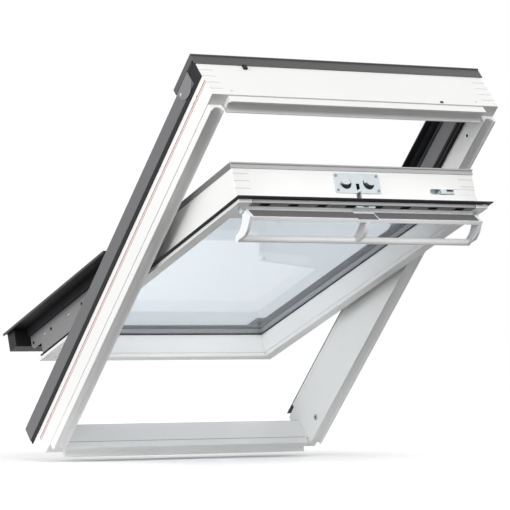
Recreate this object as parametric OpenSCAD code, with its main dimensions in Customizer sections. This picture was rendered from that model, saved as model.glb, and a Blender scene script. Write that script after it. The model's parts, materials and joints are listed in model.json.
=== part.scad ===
// Centre-pivot roof window: white coated timber frame and sash, grey lacquered covers, double glazing.
// Lengths are millimetres. The frame lies on the roof slope: X across, Y out of the roof, Z up the slope,
// before the whole window is tipped back to the roof pitch.

/* [Frame] */
// outer width of the frame
frame_width = 780; // [660:5:980]
// outer height of the frame, measured up the slope
frame_height = 1178; // [980:2:1398]
// slope of the roof, degrees from level
roof_pitch = 45; // [30:1:70]
// depth of the jambs and the top rail above the lining ledge
frame_depth = 105; // [102:0.5:108]
// thickness of the jambs and rails, outer flank to inner flank
rail_thick = 36; // [35:0.5:38]

/* [Sash] */
// how far the sash stands open, degrees from closed
open_angle = 25; // [2:1:60]
// how far the ventilation flap stands open, degrees
flap_angle = 50; // [10:1:60]
// thickness of each pane
pane_thick = 4; // [3:0.5:5]
// height of the spacer between the panes
spacer_high = 13; // [11:0.5:15]

/* [Hardware] */
// radius of the barrel bolt's rod
bolt_r = 5; // [4:0.1:5]
// radius of the flap's hinge rod
rod_r = 3; // [2:0.1:3.2]
// radius of the pilot holes for the installation brackets
pilot_r = 2; // [1.5:0.1:2.5]

/* [Hidden] */
$fn = 48;
run_fit = 0.05;
slide_fit = 0.3;

half_w = frame_width / 2;
in_w = half_w - rail_thick;
top_in = frame_height - rail_thick;

// the turning axis: mid height, just outside the outer edge of the jambs
axis_out = 5;
axis_w = frame_depth + axis_out;
axis_v = frame_height / 2;
guide_r = 45;

// lining strip on the room side of every frame member, hollowed by a shallow cove
strip_set = 2;
strip_high = 20;
cove_u = 20;
cove_half = 14;
cove_deep = 10;
cove_r = (cove_half * cove_half + cove_deep * cove_deep) / (2 * cove_deep);
island_u = 43;
island_v = 30;

// shallow rebate along the outer half of the jambs' inner flanks
guide_seat = 7;
rebate_w = axis_w - guide_r - guide_seat;
rebate_deep = 2;
jamb_face = in_w + rebate_deep;
bottom_drop = 45;
bottom_high = frame_depth - bottom_drop;
bottom_rebate = 33;
finger_count = 5;
finger_w = frame_depth / finger_count;
bottom_finger = bottom_high / 3;
pilot_deep = 25;
pilot_w = 50;
pilot_low = [60, 82];
pilot_high = [frame_height - 73, frame_height - 51];
pilot_top_x = half_w - 57;
pilot_top_w = 14;

// grey covers on the frame
sheet = 2;
cover_out = 3;
cover_reach = 29;
cover_low_w = frame_depth - cover_reach;
cover_drop = 40;
gasket_wide = 13;
gasket_low_w = cover_low_w - gasket_wide;
gasket_out = 2.5;
top_cover_deep = 75;
top_cover_side = 5;
top_lap = 1;
hem_r = 2.5;
return_long = 107;
cover_stop = 8;
notch_low = axis_v + 38;
notch_high = axis_v + 104;
apron_gap = 2;
apron_lap = 4;
apron_fold = 20;
gasket_stop = 2;
tab_r = 36;
tab_v = frame_height - 66;
tab_top = frame_height - 36;
tab_screw_v = tab_v - 24;
tab_drop = 9;
tab_screw_drop = 17;
head_high = 1.5;
screw_r = 4;
small_screw_r = 3.5;

// clips on the top rail's upper flank
clip_inset = 124;
clip_x = half_w - clip_inset;
clip_half = 5;
clip_w = frame_depth - 14;
clip_high = 5;
plate_clip_inset = 158;
plate_clip_x = half_w - plate_clip_inset;
plate_clip_half = 4;
plate_clip_w = 4;
plate_clip_wide = 5;

// half-moon guides and curved arms of the pivots
arc_in = 26;
arc_out = 38.6;
guide_thick = 10;
guide_face = jamb_face - guide_thick;
arc_deep = 6;
arm_span = 34;
arm_lead = 5;
arm_plate = 3;
arm_plate_w = [axis_w - 34, axis_w - 4];
arm_plate_v = [axis_v + 8, axis_v + 52];
guide_screw_w = axis_w - 15;
guide_screw_v = 10;

// grey plates and double gaskets on the jambs, above the pivot
stop_low = axis_v + guide_r + 16;
stop_high = top_in - 1;
stop_thick = 4;
stop_gasket = 9;
stop_gasket_wide = 8;
stop_gasket_w = [rebate_w - 22, rebate_w - 11];

max_open = 163.5;
vent_open = 7;

// sash, measured closed; its room side lies at sash_in
sash_deep = 85;
sash_in = frame_depth - sash_deep;
flange_thick = 8;
foot = sash_in + flange_thick;
flange_half = in_w - 15.4;
body_half = in_w - 26;
clear_half = in_w - 44;
sash_low = rail_thick + 9.7;
sash_high = top_in - 25.3;
body_low = sash_low + 10;
body_high = sash_high - 22.7;
bottom_clear = sash_low + 26.3;
top_clear = sash_high - 95;
pane_in = sash_in + 62;
rebate = 8;
pane_gap = 0.5;
spacer_w = pane_in + pane_thick;
outer_w = spacer_w + spacer_high;
glass_top = outer_w + pane_thick;
seal_thick = 2;
seal_top = glass_top + seal_thick;
wall_top = seal_top + 13;
seal_in = 3;
corner_half = clear_half + rebate;
sash_finger = (wall_top - foot) / 5;
finger_in = clear_half - 23;
finger_low = top_clear + rebate + 4;
shadow_wide = 2;
shadow_low = sash_in + 9;
shadow_high = shadow_low + shadow_wide;

// grey covers on the sash
cap_top = wall_top + 9;
cap_low = wall_top - 5;
cap_in = clear_half - 14;
cap_out = body_half + sheet;
cover_step = 10;
cover_top_w = cap_top - cover_step;
top_cover_w = cap_top + 8;
hood_w = cap_top + 3;
hood_in = in_w - 31;
hood_out = half_w - 12;
hood_rise = 165;
hood_low = axis_v + hood_rise;
hood_high = frame_height - top_cover_deep - 1;
hood_seal = 18;
seal_clear = 0.8;
inner_lap = 14;
lip_w = glass_top + 9;
slope_wide = 26;
seal_wall = 3;
mid_gap = 14;
cover_gap = 4;
wing_out = half_w - 10;
wing_low = -50;
wing_drop = 50;
wing_top = axis_v - wing_drop;
wing_neck = guide_face - 3;
wing_lip = cap_top - 6;
tail_half = half_w - 20;
tail_low = wing_low + 4;
tail_high = -6;
tail_deep = 27;
tail_w = frame_depth - tail_deep;
tail_wall = 4;
plate_low = 2;
plate_high = axis_v - 49;
plate_w = bottom_high + 6;
gasket_deep = 8;
skirt_w = foot + gasket_deep + 1;
plate_thick = 2.5;
plate_r = 14;
wing_seal = 6;
wing_seal_deep = 25;
plate_screw = [plate_low + plate_r, 120, 300];
plate_slot = [70, 210];
slot_long = 18;
slot_thin = 4;

// rubber gasket round the sash's flange
gasket_thick = 6;
gasket_web = 2;
lip_pitch = 5;
lip_thick = 3;
gasket_side = 3.6;
gasket_low = 3;
gasket_high = 6;

// lock in the middle of the sash's top rail
lock_half = 62;
lock_low = sash_in + 38;
lock_high = sash_in + 88;
lock_face = body_high + sheet;
latch_v = body_high - 14;
latch_w = sash_in + 42;
latch_r = 6;
latch_reach = 23;
latch_half = 4;
latch_arm = 3;
latch_pin_r = 2.5;
latch_gap = 0.5;
cheek = 2;
cheek_x = latch_half + latch_gap;
cheek_half = 8;
pocket_gap = 3;
pocket_half = 20;
slot_under = 16;
mech_half = 46;
mech_low = lock_low + 2;
mech_high = lock_high - 4;
lock_r = 4;
hook_r = 15;
hook_x = 31;
hook_w = lock_low + 25;
hook_shift = 3;
hook_lift = 8;
hook_wall = 3;
hook_high = 8;
lock_screw_in = 7;
lock_screw_high = 1.2;
striker_v = top_in - 27;
striker_w = sash_in + 45;
striker_half = 40;
striker_plate = 3;
striker_span = [striker_w - 15, striker_w + 30];
striker_ear = 12;
striker_ear_half = 6;
ear_thick = 4;
striker_r = 3;

// barrel bolt in the sash's top rail
bolt_v = body_high - 7.5;
bolt_w = sash_in + 47.5;
bolt_high = 15;
bolt_deep = 15;
bolt_from = body_half - 122;
knob_x = bolt_from + 20;
knob_long = 16;
knob_half = 6;
channel_wall = 1;
knob_low = 6;
knob_high = 4;
knob_in = 2;
housing_gap = 0.5;
housing_half = bolt_high / 2 - housing_gap;
housing_from = body_half - 60;
bolt_end = body_half - 2;
bush_wall = 2;
bush_long = 18;
bush_lip = 1.5;
bush_flange = 2;

// ventilation flap with its handle bar, measured flat under the top rail
flap_v = sash_high - 28.7;
flap_w = sash_in - 8.5;
flap_long = 37;
flap_half = 5;
flap_x = clear_half - 2;
liner = 1.5;
liner_set = 2;
filter_x = flap_x - liner_set;
filter_low = flap_half + 2.5;
bar_r = 8;
bar_f = 10;
bar_n = 66;
web_r = 49;
web_f = -38;
web_n = 35;
web_half = 7;
web_front = [[40, -24], [36, -44]];
end_near = 2;
bar_cap = 8;
vent_half = clear_half - 8;
vent_gap = 2;
slot_count = 8;
slot_pitch = 2 * vent_half / slot_count;
slot_wide = 26;
slot_deep = 6;
slot_low = body_high + 2;
slot_high = sash_high - 5;
rod_gap = 1.5;
rod_hold = 6;

// case of the lock on the vent profile's room side
case_half = 26;
case_drop = 4.5;
case_low = body_high + 2;
case_high = sash_high - 4;
case_gap = 3;
case_clear = 1;
pocket_low = case_low - flap_v - case_clear;
bracket_half = 5;
bracket_near = 18;

// placing

module on_roof() {
  rotate([90 - roof_pitch, 0, 0])
    translate([0, -bottom_high / 2, 0])
      children();
}

module turned(angle) {
  translate([0, axis_w, axis_v])
    rotate([angle, 0, 0])
      translate([0, -axis_w, -axis_v])
        children();
}

module on_sash() {
  on_roof()
    turned(open_angle)
      children();
}

module on_flap() {
  on_sash()
    translate([0, flap_w, flap_v])
      rotate([flap_angle, 0, 0])
        children();
}

module both_sides() {
  children();
  mirror([1, 0, 0])
    children();
}

module box(x0, x1, y0, y1, z0, z1) {
  translate([x0, y0, z0])
    cube([x1 - x0, y1 - y0, z1 - z0]);
}

module rod_x(r, x0, x1, y, z) {
  translate([x0, y, z])
    rotate([0, 90, 0])
      cylinder(r = r, h = x1 - x0);
}

module rod_z(r, x, y, z0, z1) {
  translate([x, y, z0])
    cylinder(r = r, h = z1 - z0);
}

// a profile drawn as (Z, Y) and run across the window
module across(x0, x1) {
  translate([x0, 0, 0])
    rotate([0, -90, 0])
      mirror([0, 0, 1])
        linear_extrude(height = x1 - x0)
          children();
}

// a profile drawn as (X, Y) and run up the slope
module up_slope(z0, z1) {
  translate([0, 0, z0])
    linear_extrude(height = z1 - z0)
      children();
}

// frame

module member_profile(high, step_at, step) {
  polygon([
    [0, 0], [0, high], [rail_thick - step, high], [rail_thick - step, step_at], [rail_thick, step_at],
    [rail_thick, 0]
  ]);
}

module strip_profile() {
  difference() {
    translate([strip_set, -strip_high])
      square([rail_thick - strip_set, strip_high]);
    translate([cove_u, cove_deep - strip_high - cove_r])
      circle(r = cove_r);
  }
}

module pilot_holes() {
  for (z = concat(pilot_low, pilot_high))
    rod_x(pilot_r, -half_w - 1, -half_w + pilot_deep, pilot_w, z);
}

module rail_fingers(x0, x1) {
  for (k = [1, 3])
    box(x0, x1, k * finger_w, (k + 1) * finger_w, top_in, frame_height);
  box(x0, x1, bottom_finger, 2 * bottom_finger, 0, rail_thick);
}

module left_jamb() {
  difference() {
    union() {
      translate([-half_w, 0, 0])
        up_slope(0, frame_height)
          member_profile(frame_depth, rebate_w, rebate_deep);
      translate([-half_w, 0, 0])
        up_slope(island_v, frame_height - island_v)
          strip_profile();
    }
    rail_fingers(-half_w - 1, -in_w + 1);
    pilot_holes();
  }
}

module bush_place(angle) {
  turned(angle)
    translate([0, bolt_w, bolt_v])
      children();
}

module bush_bores() {
  for (a = [vent_open, max_open])
    bush_place(a)
      rod_x(bolt_r + bush_wall, in_w - 1, in_w + bush_long, 0, 0);
}

module frame_left_jamb() {
  color("white")
    on_roof()
      left_jamb();
}

module frame_right_jamb() {
  color("white")
    on_roof()
      difference() {
        mirror([1, 0, 0])
          left_jamb();
        bush_bores();
      }
}

module frame_top_rail() {
  color("white")
    on_roof()
      difference() {
        union() {
          translate([0, 0, frame_height])
            mirror([0, 0, 1])
              across(-in_w, in_w)
                member_profile(frame_depth, rebate_w, 0);
          translate([0, 0, frame_height])
            mirror([0, 0, 1])
              across(-half_w + island_u, half_w - island_u)
                strip_profile();
          box(-jamb_face, jamb_face, rebate_w, frame_depth, top_in, frame_height);
          for (k = [1, 3])
            box(-half_w, half_w, k * finger_w, (k + 1) * finger_w, top_in, frame_height);
        }
        for (s = [-1, 1])
          rod_z(pilot_r, s * pilot_top_x, pilot_top_w, frame_height - pilot_deep, frame_height + 1);
      }
}

module frame_bottom_rail() {
  color("white")
    on_roof() {
      across(-in_w, in_w)
        member_profile(bottom_high, bottom_rebate, rebate_deep);
      across(-half_w + island_u, half_w - island_u)
        strip_profile();
      box(-half_w, half_w, bottom_finger, 2 * bottom_finger, 0, rail_thick);
    }
}

module frame_top_cover() {
  side = half_w + top_cover_side;
  color("dimgray")
    on_roof() {
      box(-side, side, frame_depth - top_lap, top_cover_w, frame_height, frame_height + sheet);
      box(-side, side, top_cover_w - sheet, top_cover_w, frame_height - top_cover_deep, frame_height + sheet);
      box(-in_w, in_w, cover_top_w + top_lap, top_cover_w, frame_height - top_cover_deep,
        frame_height - top_cover_deep + sheet);
      rod_x(hem_r, -side, side, top_cover_w - hem_r, frame_height + sheet);
      both_sides()
        box(side - sheet, side, cover_top_w, top_cover_w, frame_height - return_long,
          frame_height + sheet);
    }
}

module left_cover() {
  box(-half_w - cover_out, -half_w, cover_low_w, cover_top_w, -cover_drop, tab_top);
  box(-half_w - cover_out, -in_w, cover_top_w - sheet, cover_top_w, sheet, notch_low);
  box(-half_w - cover_out, -in_w, cover_top_w - sheet, cover_top_w, notch_high, frame_height - cover_stop);
}

module frame_left_cover() {
  color("gray")
    on_roof()
      left_cover();
}

module frame_right_cover() {
  color("gray")
    on_roof()
      mirror([1, 0, 0])
        left_cover();
}

module frame_bottom_cover() {
  wide = in_w - apron_gap;
  color("gray")
    on_roof() {
      box(-wide, wide, bottom_high, bottom_high + sheet, -cover_drop, rail_thick - apron_lap);
      box(-wide, wide, bottom_high - apron_fold, bottom_high + sheet, -cover_drop, sheet - cover_drop);
    }
}

module frame_side_gaskets() {
  skin = half_w + gasket_out;
  high = frame_height - gasket_stop;
  color("black")
    on_roof()
      both_sides() {
        box(-skin, -half_w, gasket_low_w, cover_low_w, gasket_stop - cover_drop, high);
        box(-skin, -half_w, cover_low_w, cover_top_w - sheet, tab_top, high);
      }
}

module cover_tabs() {
  skin = half_w + cover_out;
  color("gray")
    on_roof()
      both_sides()
        intersection() {
          rod_x(tab_r, -skin - sheet, -skin, cover_top_w - tab_drop, tab_v);
          box(-skin - sheet, -skin, gasket_low_w, cover_top_w - top_lap, 0, tab_top);
        }
}

module tab_screws() {
  skin = half_w + cover_out + sheet;
  color("silver")
    on_roof()
      both_sides()
        rod_x(screw_r, -skin - head_high, -skin, cover_top_w - tab_screw_drop, tab_screw_v);
}

module top_clips() {
  color("black")
    on_roof() {
      box(-clip_x - clip_half, -clip_x + clip_half, clip_w, frame_depth - top_lap, frame_height,
        frame_height + clip_high);
      box(plate_clip_x - plate_clip_half, plate_clip_x + plate_clip_half, plate_clip_w,
        plate_clip_w + plate_clip_wide, frame_height, frame_height + sheet);
    }
}

module upper_side_covers() {
  color("gray")
    on_roof()
      both_sides() {
        box(hood_in, hood_out, hood_w, hood_w + sheet, hood_low, hood_high);
        box(hood_out - sheet, hood_out, cover_top_w, hood_w + sheet, hood_low, hood_high);
      }
}

module upper_side_seals() {
  color("black")
    on_roof()
      both_sides()
        box(hood_in, hood_in + hood_seal, cap_top + seal_clear, hood_w, hood_low, hood_high);
}

module jamb_stop_plates() {
  color("dimgray")
    on_roof()
      both_sides()
        box(jamb_face - stop_thick, jamb_face, rebate_w, frame_depth - top_lap, stop_low, stop_high);
}

module jamb_stop_gaskets() {
  color("black")
    on_roof()
      both_sides()
        for (w = stop_gasket_w)
          box(in_w - stop_gasket, in_w, w, w + stop_gasket_wide, stop_low, stop_high);
}

// half-moon guide of the pivot, with the curved channel the sash's arm runs in
module guide_half() {
  reach = guide_r + 1;
  difference() {
    rod_x(guide_r, guide_face, jamb_face, axis_w, axis_v);
    difference() {
      rod_x(arc_out, guide_face - 1, guide_face + arc_deep, axis_w, axis_v);
      rod_x(arc_in, guide_face - 2, guide_face + arc_deep, axis_w, axis_v);
    }
    box(guide_face - 1, jamb_face + 1, frame_depth - top_lap, axis_w + reach, axis_v - reach,
      axis_v + reach);
  }
}

module pivot_guides() {
  color("silver")
    on_roof()
      both_sides()
        guide_half();
}

module guide_screws() {
  color("silver")
    on_roof()
      both_sides()
        for (s = [-1, 1])
          rod_x(small_screw_r, guide_face - head_high, guide_face, guide_screw_w,
            axis_v + s * guide_screw_v);
}

module bolt_bushes() {
  color("silver")
    on_roof()
      for (a = [vent_open, max_open])
        bush_place(a)
          difference() {
            union() {
              rod_x(bolt_r + bush_wall, in_w, in_w + bush_long, 0, 0);
              rod_x(bolt_r + bush_wall + bush_flange, in_w - bush_lip, in_w, 0, 0);
            }
            rod_x(bolt_r + run_fit, in_w - bush_lip - 1, in_w + bush_long + 1, 0, 0);
          }
}

module striker() {
  color("silver")
    on_roof() {
      box(-striker_half, striker_half, striker_span[0], striker_span[1], top_in - striker_plate, top_in);
      both_sides()
        box(striker_ear, striker_ear + ear_thick, striker_w - striker_ear_half, striker_w + striker_ear_half,
          striker_v - striker_r - 2, top_in - striker_plate);
      rod_x(striker_r, -striker_ear - ear_thick, striker_ear + ear_thick, striker_w, striker_v);
    }
}

// sash

module stile_profile() {
  polygon([
    [clear_half, sash_in], [flange_half, sash_in], [flange_half, foot],
    [body_half, foot], [body_half, wall_top], [corner_half, wall_top],
    [corner_half, pane_in], [clear_half, pane_in],
    [clear_half, shadow_high], [clear_half + shadow_wide, shadow_high],
    [clear_half + shadow_wide, shadow_low], [clear_half, shadow_low]
  ]);
}

module rail_profile(clear, body, flange, top) {
  s = sign(flange - clear);
  polygon([
    [clear, sash_in], [flange, sash_in], [flange, foot],
    [body, foot], [body, top], [clear + s * rebate, top],
    [clear + s * rebate, pane_in], [clear, pane_in],
    [clear, shadow_high], [clear + s * shadow_wide, shadow_high],
    [clear + s * shadow_wide, shadow_low], [clear, shadow_low]
  ]);
}

// finger joints of the sash's upper corners: the rail's fingers and the stiles' fingers, by turns
module sash_fingers(bands, x0, x1, low) {
  for (k = bands)
    box(x0, x1, foot + k * sash_finger, foot + (k + 1) * sash_finger, low, body_high);
}

module bolt_slot(inset, bed) {
  half = bolt_high / 2 - inset;
  box(bolt_from, body_half + 1, bolt_w - half, bolt_w + half, bed, body_high + 1);
  rod_z(half, bolt_from, bolt_w, bed, body_high + 1);
}

module bolt_recess() {
  bolt_slot(0, body_high - bolt_deep);
}

module latch_pocket() {
  half = latch_half + pocket_gap;
  low = latch_v - latch_r - pocket_gap;
  box(-half, half, latch_w - pocket_half, latch_w + pocket_half, low, body_high + 1);
}

module mech_pocket(high) {
  low = latch_v - latch_r - pocket_gap;
  box(-mech_half, mech_half, mech_low, mech_high, low, high);
}

module vent_seat(gap) {
  half = vent_half + gap;
  box(-half, half, sash_in - gap, foot, body_high, sash_high + gap);
}

module vent_slots() {
  for (k = [0:slot_count - 1])
    translate([(k + 0.5) * slot_pitch - vent_half, 0, 0])
      box(-slot_wide / 2, slot_wide / 2, sash_in - 1, sash_in + slot_deep, slot_low, slot_high);
}

module stile() {
  difference() {
    up_slope(body_low, body_high)
      stile_profile();
    sash_fingers([1, 3], clear_half - 1, body_half + 1, top_clear + rebate);
  }
  sash_fingers([0, 2, 4], finger_in, body_half, finger_low);
  box(clear_half, flange_half, sash_in, foot, sash_low, sash_high);
}

module sash_left_stile() {
  color("white")
    on_sash()
      mirror([1, 0, 0])
        stile();
}

module sash_right_stile() {
  color("white")
    on_sash()
      difference() {
        stile();
        bolt_recess();
      }
}

module sash_top_rail() {
  color("white")
    on_sash()
      difference() {
        union() {
          across(-clear_half, clear_half)
            rail_profile(top_clear, body_high, sash_high, wall_top);
          box(-corner_half, corner_half, pane_in, wall_top, top_clear + rebate, body_high);
          sash_fingers([1, 3], -body_half, body_half, top_clear + rebate);
        }
        both_sides()
          sash_fingers([0, 2, 4], finger_in, body_half, finger_low);
        bolt_recess();
        latch_pocket();
        mech_pocket(body_high + 1);
        vent_seat(vent_gap);
      }
}

module vent_profile() {
  color("lightgray")
    on_sash()
      difference() {
        vent_seat(0);
        vent_slots();
      }
}

module sash_bottom_rail() {
  color("white")
    on_sash() {
      across(-clear_half, clear_half)
        rail_profile(bottom_clear, body_low, sash_low, seal_top);
      box(-corner_half, corner_half, pane_in, seal_top, body_low, bottom_clear - rebate);
    }
}

// a flat ring that follows the glass edge, from inset a to inset b outside the clear opening
module glass_ring(a, b, y0, y1) {
  difference() {
    box(-clear_half - b, clear_half + b, y0, y1, bottom_clear - b, top_clear + b);
    box(-clear_half - a, clear_half + a, y0 - 1, y1 + 1, bottom_clear - a, top_clear + a);
  }
}

module pane(y0) {
  edge = rebate - pane_gap;
  box(-clear_half - edge, clear_half + edge, y0, y0 + pane_thick, bottom_clear - edge, top_clear + edge);
}

module inner_pane() {
  color("lightblue")
    on_sash()
      pane(pane_in);
}

module outer_pane() {
  color("lightblue")
    on_sash()
      pane(outer_w);
}

module glass_spacer() {
  color("silver")
    on_sash()
      glass_ring(0, rebate - pane_gap, spacer_w, outer_w);
}

module inner_glazing_seal() {
  color("black")
    on_sash()
      glass_ring(-seal_in, 0, pane_in - seal_thick, pane_in);
}

module outer_glazing_seal() {
  inset = clear_half - inner_lap;
  low = bottom_clear + inner_lap;
  color("black")
    on_sash() {
      glass_ring(-inner_lap, rebate - pane_gap, glass_top, seal_top);
      difference() {
        glass_ring(-inner_lap, seal_wall - inner_lap, glass_top, lip_w - sheet);
        box(-inset - inner_lap, inset + inner_lap, seal_top, lip_w, 0, low);
      }
    }
}

// folded sheet that slopes up from the glass to the sash's outer edge
module cover_profile(far) {
  polygon([
    [cap_in, lip_w - sheet], [cap_in, lip_w], [cap_in + slope_wide, cap_top], [far, cap_top],
    [far, cap_top - sheet], [cap_in + slope_wide, cap_top - sheet]
  ]);
}

module sash_top_cover() {
  high = body_high + sheet;
  low = top_clear - inner_lap;
  color("gray")
    on_sash() {
      across(-corner_half, corner_half)
        polygon([
          [low, lip_w - sheet], [low, lip_w], [low + slope_wide, cap_top], [high, cap_top],
          [high, cap_top - sheet], [low + slope_wide, cap_top - sheet]
        ]);
      box(-body_half, body_half, cap_top - sheet, cap_top, low + slope_wide, high);
      box(-cap_out, cap_out, cap_low, cap_top, body_high, high);
      rod_x(hem_r, -cap_out, cap_out, cap_top - hem_r, body_high + hem_r);
    }
}

module right_cover() {
  low = axis_v + cover_gap;
  high = top_clear - inner_lap;
  up_slope(low, high)
    cover_profile(cap_out);
  box(corner_half, body_half, cap_top - sheet, cap_top, high, high + slope_wide);
  box(body_half, cap_out, cap_low, cap_top, low, body_high);
}

module sash_right_cover() {
  color("gray")
    on_sash()
      right_cover();
}

module sash_left_cover() {
  color("gray")
    on_sash()
      mirror([1, 0, 0])
        right_cover();
}

module right_wing() {
  high = axis_v - mid_gap;
  low = bottom_clear + inner_lap;
  up_slope(low, high)
    cover_profile(wing_neck);
  box(cap_in, corner_half, lip_w - sheet, cap_top, low - sheet, low);
  box(cap_in, wing_neck, cap_top - sheet, cap_top, wing_low, low);
  box(cap_in, cap_in + sheet, seal_top, cap_top, wing_low, low);
  box(cap_out, wing_out, cap_top - sheet, cap_top, wing_low, wing_top);
  box(wing_out - sheet, wing_out, wing_lip, cap_top, wing_low, wing_top);
  box(body_half, cap_out, cap_low, cap_top, body_low, high);
}

module sash_right_wing() {
  color("gray")
    on_sash()
      right_wing();
}

module sash_left_wing() {
  color("gray")
    on_sash()
      mirror([1, 0, 0])
        right_wing();
}

module sash_bottom_cover() {
  color("gray")
    on_sash()
      box(-cap_in, cap_in, seal_top, seal_top + sheet, wing_low, bottom_clear + inner_lap);
}

module sash_tail_profile() {
  color("black")
    on_sash() {
      difference() {
        box(-tail_half, tail_half, tail_w, seal_top, tail_low, tail_high);
        box(tail_wall - tail_half, tail_half - tail_wall, tail_w + tail_wall, seal_top + 1,
          tail_low + tail_wall, tail_high - tail_wall);
      }
      both_sides()
        box(cap_in + sheet, tail_half, seal_top, cap_top - sheet, tail_low, tail_high);
    }
}

module side_plate() {
  out = body_half + plate_thick;
  difference() {
    union() {
      box(body_half, out, skirt_w, cap_low, body_low, plate_high);
      box(body_half, out, plate_w, cap_low, plate_low + plate_r, body_low);
      box(body_half, out, plate_w + plate_r, cap_low, plate_low, body_low);
      rod_x(plate_r, body_half, out, plate_w + plate_r, plate_low + plate_r);
    }
    for (z = plate_slot)
      box(body_half - 1, out + 1, plate_w + plate_r, plate_w + plate_r + slot_thin, z, z + slot_long);
  }
}

module sash_side_plates() {
  color("dimgray")
    on_sash()
      both_sides()
        side_plate();
}

module wing_seals() {
  in_x = body_half + plate_thick;
  color("black")
    on_sash()
      both_sides()
        box(in_x, in_x + wing_seal, cap_top - wing_seal_deep, cap_top - sheet, plate_low, plate_high);
}

module plate_screws() {
  color("silver")
    on_sash()
      both_sides()
        for (z = plate_screw)
          rod_x(screw_r, body_half + plate_thick, body_half + plate_thick + head_high, plate_w + plate_r, z);
}

module gasket_loop(reach, y0, y1) {
  far = flange_half - gasket_side - gasket_thick;
  low = sash_low + gasket_low + gasket_thick;
  high = sash_high - gasket_high - gasket_thick;
  difference() {
    box(-far - reach, far + reach, y0, y1, low - reach, high + reach);
    box(-far, far, y0 - 1, y1 + 1, low, high);
  }
}

module sash_gasket() {
  color("black")
    on_sash() {
      gasket_loop(gasket_web, foot, foot + gasket_deep);
      for (k = [0, 1])
        gasket_loop(gasket_thick, foot + k * lip_pitch, foot + k * lip_pitch + lip_thick);
    }
}

// curved arm that runs in the pivot guide
module pivot_arm() {
  translate([body_half, axis_w, axis_v])
    rotate([0, 90, 0])
      rotate([0, 0, 180 + arm_lead])
        rotate_extrude(angle = arm_span)
          translate([arc_in + slide_fit, 0])
            square([arc_out - arc_in - 2 * slide_fit, guide_face + arc_deep - slide_fit - body_half]);
  box(body_half, body_half + arm_plate, arm_plate_w[0], arm_plate_w[1], arm_plate_v[0], arm_plate_v[1]);
}

module pivot_arms() {
  color("silver")
    on_sash()
      both_sides()
        pivot_arm();
}

module lock_sheet() {
  box(lock_r - lock_half, lock_half - lock_r, lock_low, lock_high, body_high, lock_face);
  box(-lock_half, lock_half, lock_low + lock_r, lock_high - lock_r, body_high, lock_face);
  for (s = [-1, 1])
    for (w = [lock_low + lock_r, lock_high - lock_r])
      rod_z(lock_r, s * (lock_half - lock_r), w, body_high, lock_face);
}

// a crescent cut in the plate, and the curved hook bent up beside it
module hook_cut() {
  difference() {
    rod_z(hook_r, hook_x, hook_w, body_high - 1, lock_face + 1);
    rod_z(hook_r, hook_x + hook_shift, hook_w + hook_lift, body_high - 2, lock_face + 2);
  }
}

module hook_lip() {
  x = hook_x + hook_shift;
  w = hook_w + hook_lift;
  top = lock_face + hook_high;
  intersection() {
    difference() {
      rod_z(hook_r, x, w, lock_face, top);
      rod_z(hook_r - hook_wall, x, w, lock_face - 1, top + 1);
    }
    box(x - hook_r, x + hook_r, w - hook_r, w - hook_r / 2, lock_face, top);
  }
}

module lock_plate() {
  color("silver")
    on_sash() {
      difference() {
        lock_sheet();
        box(-cheek_x, cheek_x, latch_w - slot_under, latch_w + pocket_half, body_high - 1, lock_face + 1);
        both_sides()
          hook_cut();
      }
      both_sides()
        hook_lip();
      both_sides()
        difference() {
          box(cheek_x, cheek_x + cheek, latch_w - cheek_half, latch_w + cheek_half, latch_v - latch_r,
            body_high);
          rod_x(latch_pin_r, 0, latch_half + pocket_gap, latch_w, latch_v);
        }
    }
}

module lock_body() {
  color("dimgray")
    on_sash()
      difference() {
        mech_pocket(body_high);
        latch_pocket();
      }
}

module lock_screws() {
  color("silver")
    on_sash()
      both_sides()
        for (w = [lock_low + lock_screw_in, lock_high - lock_screw_in])
          rod_z(small_screw_r, lock_half - lock_screw_in, w, lock_face, lock_face + lock_screw_high);
}

module latch_pin() {
  half = cheek_x + cheek;
  color("silver")
    on_sash()
      rod_x(latch_pin_r, -half, half, latch_w, latch_v);
}

module bolt_channel() {
  bed = body_high - bolt_deep;
  color("silver")
    on_sash()
      difference() {
        intersection() {
          bolt_recess();
          box(0, housing_from, bolt_w - bolt_high, bolt_w + bolt_high, bed, body_high);
        }
        bolt_slot(channel_wall, bed + channel_wall);
      }
}

module bolt_housing() {
  color("whitesmoke")
    on_sash()
      difference() {
        box(housing_from, body_half - 1, bolt_w - housing_half, bolt_w + housing_half, body_high - bolt_deep,
          body_high - housing_gap);
        rod_x(bolt_r + run_fit, housing_from - 1, body_half, bolt_w, bolt_v);
      }
}

module lock_case() {
  color("whitesmoke")
    on_sash()
      box(-case_half, case_half, sash_in - case_drop, sash_in, case_low, case_high);
}

module flap_rod() {
  hold = flap_x + bar_cap + rod_gap;
  block = rod_r + sheet;
  color("silver")
    on_sash() {
      rod_x(rod_r, -hold - rod_hold, hold + rod_hold, flap_w, flap_v);
      both_sides()
        box(hold, hold + rod_hold, flap_w - block, sash_in, flap_v - block, flap_v + block);
    }
}

// flap and handle bar, drawn from the hinge rod outwards

module case_pocket() {
  half = case_half + case_gap;
  floor_n = sash_in - case_drop - flap_w - case_clear;
  box(-half, half, floor_n, flap_half + liner + 1, pocket_low, flap_long + 1);
}

module vent_flap() {
  color("white")
    on_flap()
      difference() {
        union() {
          box(-flap_x, flap_x, -flap_half, flap_half, 0, flap_long);
          rod_x(flap_half, -flap_x, flap_x, 0, 0);
        }
        rod_x(rod_r + run_fit, -flap_x - 1, flap_x + 1, 0, 0);
        case_pocket();
      }
}

module flap_filter() {
  color("dimgray")
    on_flap()
      difference() {
        box(-filter_x, filter_x, flap_half, flap_half + liner, filter_low, flap_long - liner_set);
        case_pocket();
      }
}

module handle_bar() {
  color("white")
    on_flap()
      rod_x(bar_r, -flap_x, flap_x, -bar_n, bar_f);
}

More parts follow.
